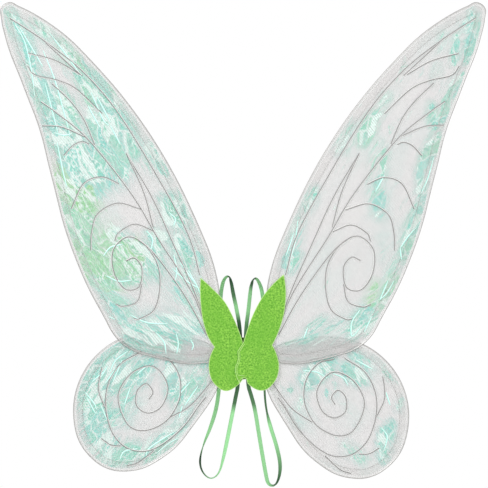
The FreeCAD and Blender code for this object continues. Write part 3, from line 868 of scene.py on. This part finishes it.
def ply(wing, node, offset, spacing, material, sewn_on=(), crumple=0.0, fields=None):
    """One layer of a wing's panel, offset from the middle of its hem."""
    rim = evenly(wing.panel, spacing)
    inner = honeycomb(wing.edge, spacing, PANEL_START + 0.6 * spacing)
    points, faces = filled(rim, [inner], lambda at: depth_inside(at, rim) > 0)
    depth = wing.y + offset + wing.belly(points)
    grain = wing.grain(points)
    if crumple:
        ridges = 0.5 - np.abs(ripple(grain[:, :2] / CREASE_SIZE, 1.0, 7.0))
        depth += crumple * np.clip(ridges, -1, 1) * smooth(depth_inside(points, rim) / (6 * MM))
    verts = stood_up(points, depth)
    made = {"rest": verts, "grain": grain}
    made.update(fields(points) if fields else {})
    piece = new_piece(f"{wing.name}_{node}_ply", verts, faces, material, made)
    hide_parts(f"{wing.name}_{node}")
    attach(piece, wing.body)


def gleams(wing):
    """The film's gleam, the wash round it and its tone at (x, z) points, from the wing's strokes.
    A stroke is widest in the middle and fades out past its width."""
    def fields(points):
        spread = FILM_SPREAD[wing.name.split("_")[0]]
        gleam = np.zeros(len(points))
        wash = np.zeros(len(points))
        tone = np.full(len(points), PLAIN_TONE)
        for x0, z0, x1, z1, width, strength, hue in GLEAMS[wing.name]:
            start, end = np.array([x0, z0]) * MM, np.array([x1, z1]) * MM
            run = end - start
            share = np.clip((points - start) @ run / (run @ run), 0, 1)
            away = np.hypot(*(points - start - share[:, None] * run).T)
            reach = spread * width * MM * (0.55 + 0.45 * np.sin(math.pi * share))
            here = strength * smooth(1.7 - away / reach)
            around = min(strength, 1.0) * smooth(1.6 - away / (reach + spread * WASH_REACH))
            tone = np.where(around > wash, hue, tone)
            gleam = np.maximum(gleam, here)
            wash = np.maximum(wash, around)
        return {"gleam": gleam, "wash": wash, "tone": tone}
    return fields


def veil(share):
    """An organza ply's field: it hides this share of what is behind it."""
    return lambda points: {"veil": np.full(len(points), share)}


def film_folds(wing):
    """Sharp folds in a wing's film, tapering out at their ends, that press into the front ply."""
    made = []
    for fold in FOLDS[wing.name]:
        line = through(fold, FOLD_STEP)
        line = line[depth_inside(line, wing.edge) > PANEL_START + 2 * MM]
        taper = np.sin(math.pi * np.linspace(0.06, 0.94, len(line))) ** 0.5
        raised = wing.y + wing.belly(line) - PLY_GAP
        made.append(tube(stood_up(line, raised), (FOLD_WIDTH, FOLD_HEIGHT), SIDES_ROUND, taper))
    name = f"{wing.name}_film_folds"
    return joined_tubes(name, wing.body, made, FOLD_GLINT, SIDES_ROUND)


def vein_threads(wing):
    """Raised lines of stitching on both faces of a wing."""
    made = []
    for pattern in VEINS[wing.tier]:
        line = through(wing.from_pattern(pattern), VEIN_STEP)
        line = line[depth_inside(line, wing.edge) > VEIN_CLEAR]
        depth = depth_inside(line, wing.edge)
        cloth = np.where(depth < HEM_DEPTH, sleeve_half(depth), PLY_GAP)
        bumps = 1.0 - 0.28 * (np.arange(len(line)) % 3 == 0)
        for way in (-1, 1):
            high = wing.y + way * (cloth + VEIN_HEIGHT / 3) + wing.belly(line)
            made.append(tube(stood_up(line, high), (VEIN_WIDTH, VEIN_HEIGHT), SIDES_ROUND, bumps))
    return joined_tubes(f"{wing.name}_veins", wing.body, made, VEIN_THREAD, SIDES_ROUND)


for wing in WINGS:
    hem_sleeve(wing, hem_stitches(wing))
    ply(wing, "front_organza", -PLY_GAP, CLOTH_STEP, ORGANZA, [vein_threads(wing)],
        fields=veil(FRONT_VEIL))
    ply(wing, "back_organza", PLY_GAP, CLOTH_STEP, ORGANZA, fields=veil(BACK_VEIL))
    ply(wing, "film", 0.0, FILM_STEP, FILM, [film_folds(wing)], CRUMPLE,
        gleams(wing))
    for node, material in (("wire", STEEL), ("root_crimp", CRIMP), ("root_stitch", GREEN_THREAD)):
        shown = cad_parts[f"{wing.name}_{node}"].data.materials
        shown.clear()
        shown.append(material)


# ---------------------------------------------------------------- felt covers

FELT_THICKNESS = 1.6 * MM
CUT_EDGE = 1.1 * MM          # a cut edge is rounded and paler this far in
EDGE_ROUND = 0.35 * MM
EDGE_RING = 2.2 * MM
FELT_STEP = 2.2 * MM
OUTLINE_STEP = 1.6 * MM
SEAM_INSET = 2.6 * MM
SEAM_RIGHT = 3 * MM          # the seam runs along the lip's free edge: left of this,
SEAM_LOW = -41 * MM          # and between these heights
SEAM_HIGH = 8 * MM


def opened(loop):
    """A closed outline, started where its longest straight, the fold, ends."""
    steps = np.hypot(*(np.roll(loop, -1, axis=0) - loop).T)
    return np.roll(loop, -1 - int(np.argmax(steps)), axis=0)


def soft_slab(edge, depth, thickness=FELT_THICKNESS):
    """Thick cloth cut to an outline, its edges rounded. depth(points) is the y of its middle."""
    rings = [inset(edge, EDGE_ROUND), inset(edge, CUT_EDGE), inset(edge, EDGE_RING)]
    inner = honeycomb(edge, FELT_STEP, EDGE_RING + 0.7 * FELT_STEP)
    points, faces = filled(edge, rings + [inner], lambda at: depth_inside(at, edge) > 0)
    inside = depth_inside(points, edge)
    half = thickness / 2 * np.interp(inside, [0, EDGE_ROUND, CUT_EDGE], [0.35, 0.8, 1.0])
    rough = 0.09 * MM * ripple(points, 2.7 * MM, 3.0) * smooth(inside / (2 * MM))
    middle = depth(points)
    verts, skin = slab(points, faces, middle - half + np.minimum(rough, 0), middle + half)
    cut = np.interp(inside, [0.3 * MM, CUT_EDGE], [1.0, 0.0])
    return verts, skin, {"rest": verts, "cut": np.tile(cut, 2)}


def half_cover(side):
    """One felt cover with its lip, in one piece across the fold."""
    parts = [opened(outline(f"{side}_felt_{part}")) for part in ("cover", "lip")]
    edge = evenly(np.concatenate(parts), OUTLINE_STEP)
    cover_low, cover_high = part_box(f"{side}_felt_cover")
    lip_low, lip_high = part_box(f"{side}_felt_lip")

    def depth(points):
        share = smooth((15 * MM - np.abs(points[:, 0])) / (7 * MM))
        share = np.where(points[:, 0] * SIDES[side] > 0, share, 1.0)
        return mixed((cover_low.y + cover_high.y) / 2, (lip_low.y + lip_high.y) / 2, share)

    verts, skin, fields = soft_slab(edge, depth)
    piece = new_piece(f"{side}_felt", verts, skin, FELT, fields)
    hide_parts(f"{side}_felt_cover", f"{side}_felt_lip")
    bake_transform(piece)


def flat_felt(node, body):
    low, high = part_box(node)
    edge = evenly(outline(node), OUTLINE_STEP)
    verts, skin, fields = soft_slab(edge, lambda points: np.full(len(points), (low.y + high.y) / 2))
    piece = new_piece(f"{node}_felt", verts, skin, FELT, fields)
    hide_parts(node)
    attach(piece, body)


def lip_seam():
    """A row of stitching just inside the right lip's free edge."""
    lip = evenly(outline("right_felt_lip"), 1.0 * MM)
    row = inset(lip, SEAM_INSET)
    row = row[(row[:, 0] < SEAM_RIGHT) & (row[:, 1] > SEAM_LOW) & (row[:, 1] < SEAM_HIGH)]
    row = row[np.argsort(row[:, 1])]
    low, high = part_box("right_felt_lip")
    bumps = 1.0 - 0.3 * (np.arange(len(row)) % 3 == 0)
    seam = tube(stood_up(row, low.y - 0.1 * MM), (0.8 * MM, 0.5 * MM), THREAD_SIDES, bumps)
    joined_tubes("right_lip_seam", "hub", [seam], SEAM_THREAD)


for side in SIDES:
    half_cover(side)
    flat_felt(f"{side}_back_cover", f"{side}_half")
flat_felt("back_patch", "hub")
lip_seam()


# ---------------------------------------------------------------- elastic loops

RIBBON_WIDTH = 5.2 * MM
RIBBON_THICKNESS = 0.9 * MM
RIBBON_STEP = 1.2 * MM
CORDS = 6                    # raised cords across the band

# The loops' centre lines in millimetres: out of the top anchor, over, down and back in below.
LEFT_ROUTE = [
    (-3.6, -4.9, 2.0), (-3.6, -4.9, 20.0), (-8.4, 0.5, 47.0), (-13.5, 6.5, 70.0), (-15.8, 12.0, 84.0),
    (-19.6, 21.0, 92.5), (-26.0, 31.0, 87.0), (-29.6, 34.0, 71.0), (-31.0, 30.0, 42.0), (-30.2, 26.0, -2.0),
    (-31.2, 23.0, -48.0), (-34.5, 21.0, -82.0), (-43.0, 19.0, -110.0), (-54.0, 17.0, -136.0),
    (-58.5, 16.0, -157.0), (-54.0, 15.0, -172.0), (-43.0, 14.0, -180.5), (-32.0, 13.0, -173.0),
    (-26.5, 12.0, -153.0), (-21.0, 11.0, -127.0), (-14.5, 9.0, -94.0), (-9.5, 2.0, -68.0),
    (-6.5, -4.9, -54.0), (-6.5, -4.9, -40.0),
]
RIGHT_ROUTE = [
    (3.6, -4.9, 2.0), (3.6, -4.9, 20.0), (7.2, 0.5, 46.0), (9.4, 6.5, 68.0), (11.2, 12.0, 81.0),
    (15.5, 21.0, 89.5), (21.0, 30.0, 85.0), (26.0, 34.0, 70.0), (28.5, 31.0, 42.0), (29.5, 27.0, 0.0),
    (28.2, 23.0, -46.0), (29.6, 21.0, -80.0), (35.5, 19.0, -107.0), (44.5, 17.5, -134.0),
    (50.0, 17.0, -158.0), (49.0, 17.0, -176.0), (43.5, 17.0, -189.0), (33.5, 12.5, -187.5),
    (30.0, 12.0, -171.0), (26.0, 12.0, -148.0), (20.8, 11.0, -117.0), (16.0, 8.0, -86.0),
    (10.5, 1.0, -66.0), (6.5, -4.9, -54.0), (6.5, -4.9, -40.0),
]
# How far the band is turned about its own line, in degrees, at shares of its length, and how
# much painted shade darkens it there, from 0 to 1.
LEFT_TURN = [(0, 0), (0.13, 10), (0.165, 45), (0.178, 76), (0.192, 50), (0.22, 15), (0.30, 5),
             (0.54, 5), (0.60, 45), (0.63, 80), (0.665, 60), (0.70, 76), (0.725, 82), (0.75, 70),
             (0.80, 28), (0.85, 5), (1, 0)]
RIGHT_TURN = [(0, 0), (0.12, -10), (0.155, -45), (0.168, -76), (0.182, -50), (0.21, -15), (0.30, -5),
              (0.42, -8), (0.455, -60), (0.52, -64), (0.55, -15), (0.62, -10), (0.66, -25),
              (0.69, -58), (0.705, -74), (0.73, -20), (0.77, -5), (1, 0)]
LEFT_SHADE = [(0, 1), (0.055, 0.95), (0.08, 0.35), (0.095, 0.35), (0.12, 0.85), (0.165, 1),
              (0.178, 0.9), (0.186, 0.15), (0.24, 0.1), (0.29, 0.4), (0.5, 0.1), (0.60, 0.15),
              (0.63, 0.55), (0.655, 1), (0.69, 0.95), (0.725, 0.35), (0.76, 0.1), (0.90, 0.1),
              (0.925, 0.85), (1, 0.9)]
RIGHT_SHADE = [(0, 0.9), (0.05, 0.7), (0.08, 0.3), (0.13, 0.4), (0.15, 0.95), (0.172, 0.9),
               (0.18, 0.1), (0.24, 0.15), (0.28, 0.4), (0.42, 0.15), (0.45, 0.7), (0.52, 0.85),
               (0.55, 0.1), (0.60, 0.25), (0.64, 0.6), (0.69, 0.95), (0.705, 0.9), (0.72, 0.25),
               (0.9, 0.25), (0.925, 0.8), (1, 0.9)]


def route_line(name, route):
    """A loop's centre line as a smooth curve, in points about RIBBON_STEP apart, and its length."""
    data = bpy.data.curves.new(name, "CURVE")
    data.dimensions = "3D"
    data.resolution_u = 12
    spline = data.splines.new("NURBS")
    spline.points.add(len(route) - 1)
    for point, place in zip(spline.points, route):
        point.co = (*(MM * number for number in place), 1)
    spline.order_u = 3
    spline.use_endpoint_u = True
    curve = bpy.data.objects.new(name, data)
    bpy.context.scene.collection.objects.link(curve)
    bpy.context.view_layer.update()
    drawn = np.array([tuple(vertex.co) for vertex in bpy.data.meshes.new_from_object(curve).vertices])
    bpy.data.objects.remove(curve)
    length = travelled(drawn)[-1]
    return placed(drawn, np.linspace(0, length, round(length / RIBBON_STEP) + 1)), float(length)


def band_section():
    """A flat band's cross-section, corded on both faces, as (across, through) points."""
    across = np.linspace(-1, 1, CORDS * 4 + 1)
    cords = 0.82 + 0.18 * np.abs(np.cos(across * math.pi * CORDS / 2))
    edge = np.sqrt(np.clip(1 - np.abs(across) ** 10, 0.04, 1))
    top = np.stack([across * RIBBON_WIDTH / 2, cords * edge * RIBBON_THICKNESS / 2], axis=1)
    return np.concatenate([top, (top * (1, -1))[::-1]])


def elastic_loop(side, route, turns, shades):
    """A corded band along its route, which turns on its edge where the loop bends."""
    line, length = route_line(f"{side}_route", route)
    share = np.linspace(0, 1, len(line))
    turn = np.radians(np.interp(share, *zip(*turns)))
    # Painted shade along the band, from the table shades.
    shade = np.interp(share, *zip(*shades))
    along = unit_rows(np.gradient(line, axis=0))
    flat = np.cross(along, (0, 1, 0))
    for number in range(1, len(flat)):
        if flat[number] @ flat[number - 1] < 0:
            flat[number] *= -1
    flat = unit_rows(flat)
    out = np.cross(flat, along)
    across = flat * np.cos(turn)[:, None] + out * np.sin(turn)[:, None]
    through_it = out * np.cos(turn)[:, None] - flat * np.sin(turn)[:, None]
    section = band_section()
    verts = line[:, None] + across[:, None] * section[None, :, :1]
    verts = (verts + through_it[:, None] * section[None, :, 1:]).reshape(-1, 3)
    count = len(section)
    band = np.stack([np.repeat(share * length, count), np.tile(section[:, 0], len(line)),
                     np.zeros(len(line) * count)], axis=1)
    fields = {"band": band, "shade": np.repeat(shade, count)}
    faces = skin_round(len(line), count)
    piece = new_piece(f"{side}_elastic_loop", verts, faces, ELASTIC, fields)
    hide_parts(f"{side}_strap")
    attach(piece, "hub")


elastic_loop("left", LEFT_ROUTE, LEFT_TURN, LEFT_SHADE)
elastic_loop("right", RIGHT_ROUTE, RIGHT_TURN, RIGHT_SHADE)


# ---------------------------------------------------------------- anchors, pad and hand stitching

ANCHOR_LAYERS = 3
PAD_LAYERS = 2
STITCH_SPACING = 4.2 * MM
STITCH_DIP = np.array([1.2, 0, 0, 0.6]) * MM    # how deep a stitch goes at each of its points
HAND_THREAD = 0.6 * MM
OVERHANG = 0.5 * MM          # a stitch starts this far outside the felt
BITE = 2.4 * MM              # and goes this far in over it


def stack(node, layers, material):
    """Cloth folded to so many layers, in the box of a CAD node."""
    low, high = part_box(node)
    thickness = (high.y - low.y) / layers
    edge = evenly(outline(node), OUTLINE_STEP)
    made = []
    for number in range(layers):
        middle = low.y + (number + 0.5) * thickness
        made.append(soft_slab(edge, lambda points: np.full(len(points), middle), 0.96 * thickness))
    verts, faces = gathered([(verts, faces) for verts, faces, fields in made])
    fields = {name: np.concatenate([theirs[name] for _, _, theirs in made]) for name in ("rest", "cut")}
    fields["band"] = verts[:, [2, 0, 1]]
    piece = new_piece(f"{node}_stack", verts, faces, material, fields)
    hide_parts(node)
    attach(piece, "hub")
    return piece


def strap_anchor(node):
    piece = stack(node, ANCHOR_LAYERS, TAPE)


def whip_stitches(node, body):
    """Hand stitches over the edge of a felt piece, on the wearer's side."""
    loop = evenly(outline(node), STITCH_SPACING)
    ahead = np.roll(loop, -1, axis=0) - loop
    inward = np.stack([-ahead[:, 1], ahead[:, 0]], axis=1) / np.hypot(*ahead.T)[:, None]
    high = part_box(node)[1].y + 0.05 * MM
    made = []
    for place, way, slant in zip(loop, inward, ahead):
        inner = place + BITE * way + 0.25 * slant
        outer = place - OVERHANG * way
        flat = np.array([outer, outer + 0.3 * MM * way, inner, inner + 0.4 * MM * way])
        stitch = stood_up(flat, high - STITCH_DIP)
        made.append(tube(stitch, (HAND_THREAD, HAND_THREAD), THREAD_SIDES))
    joined_tubes(f"{node}_stitches", body, made, GREEN_THREAD)


strap_anchor("top_strap_anchor")
strap_anchor("bottom_strap_anchor")
stack("centre_pad", PAD_LAYERS, FELT)
whip_stitches("back_patch", "hub")
for side in SIDES:
    whip_stitches(f"{side}_back_cover", f"{side}_half")


# ---------------------------------------------------------------- stage

def floor():
    count = 96
    turns = [2 * math.pi * k / count for k in range(count)]
    rim = [(FLOOR_RADIUS * math.cos(turn), FLOOR_RADIUS * math.sin(turn), FLOOR_Z) for turn in turns]
    mesh = bpy.data.meshes.new("floor")
    mesh.from_pydata(rim, [], [tuple(range(count))])
    recipe = Recipe("floor", Roughness=0.9, Base_Color=paint(236, 236, 234))
    mesh.materials.append(recipe.done())
    disc = bpy.data.objects.new("floor", mesh)
    bpy.context.scene.collection.objects.link(disc)


floor()
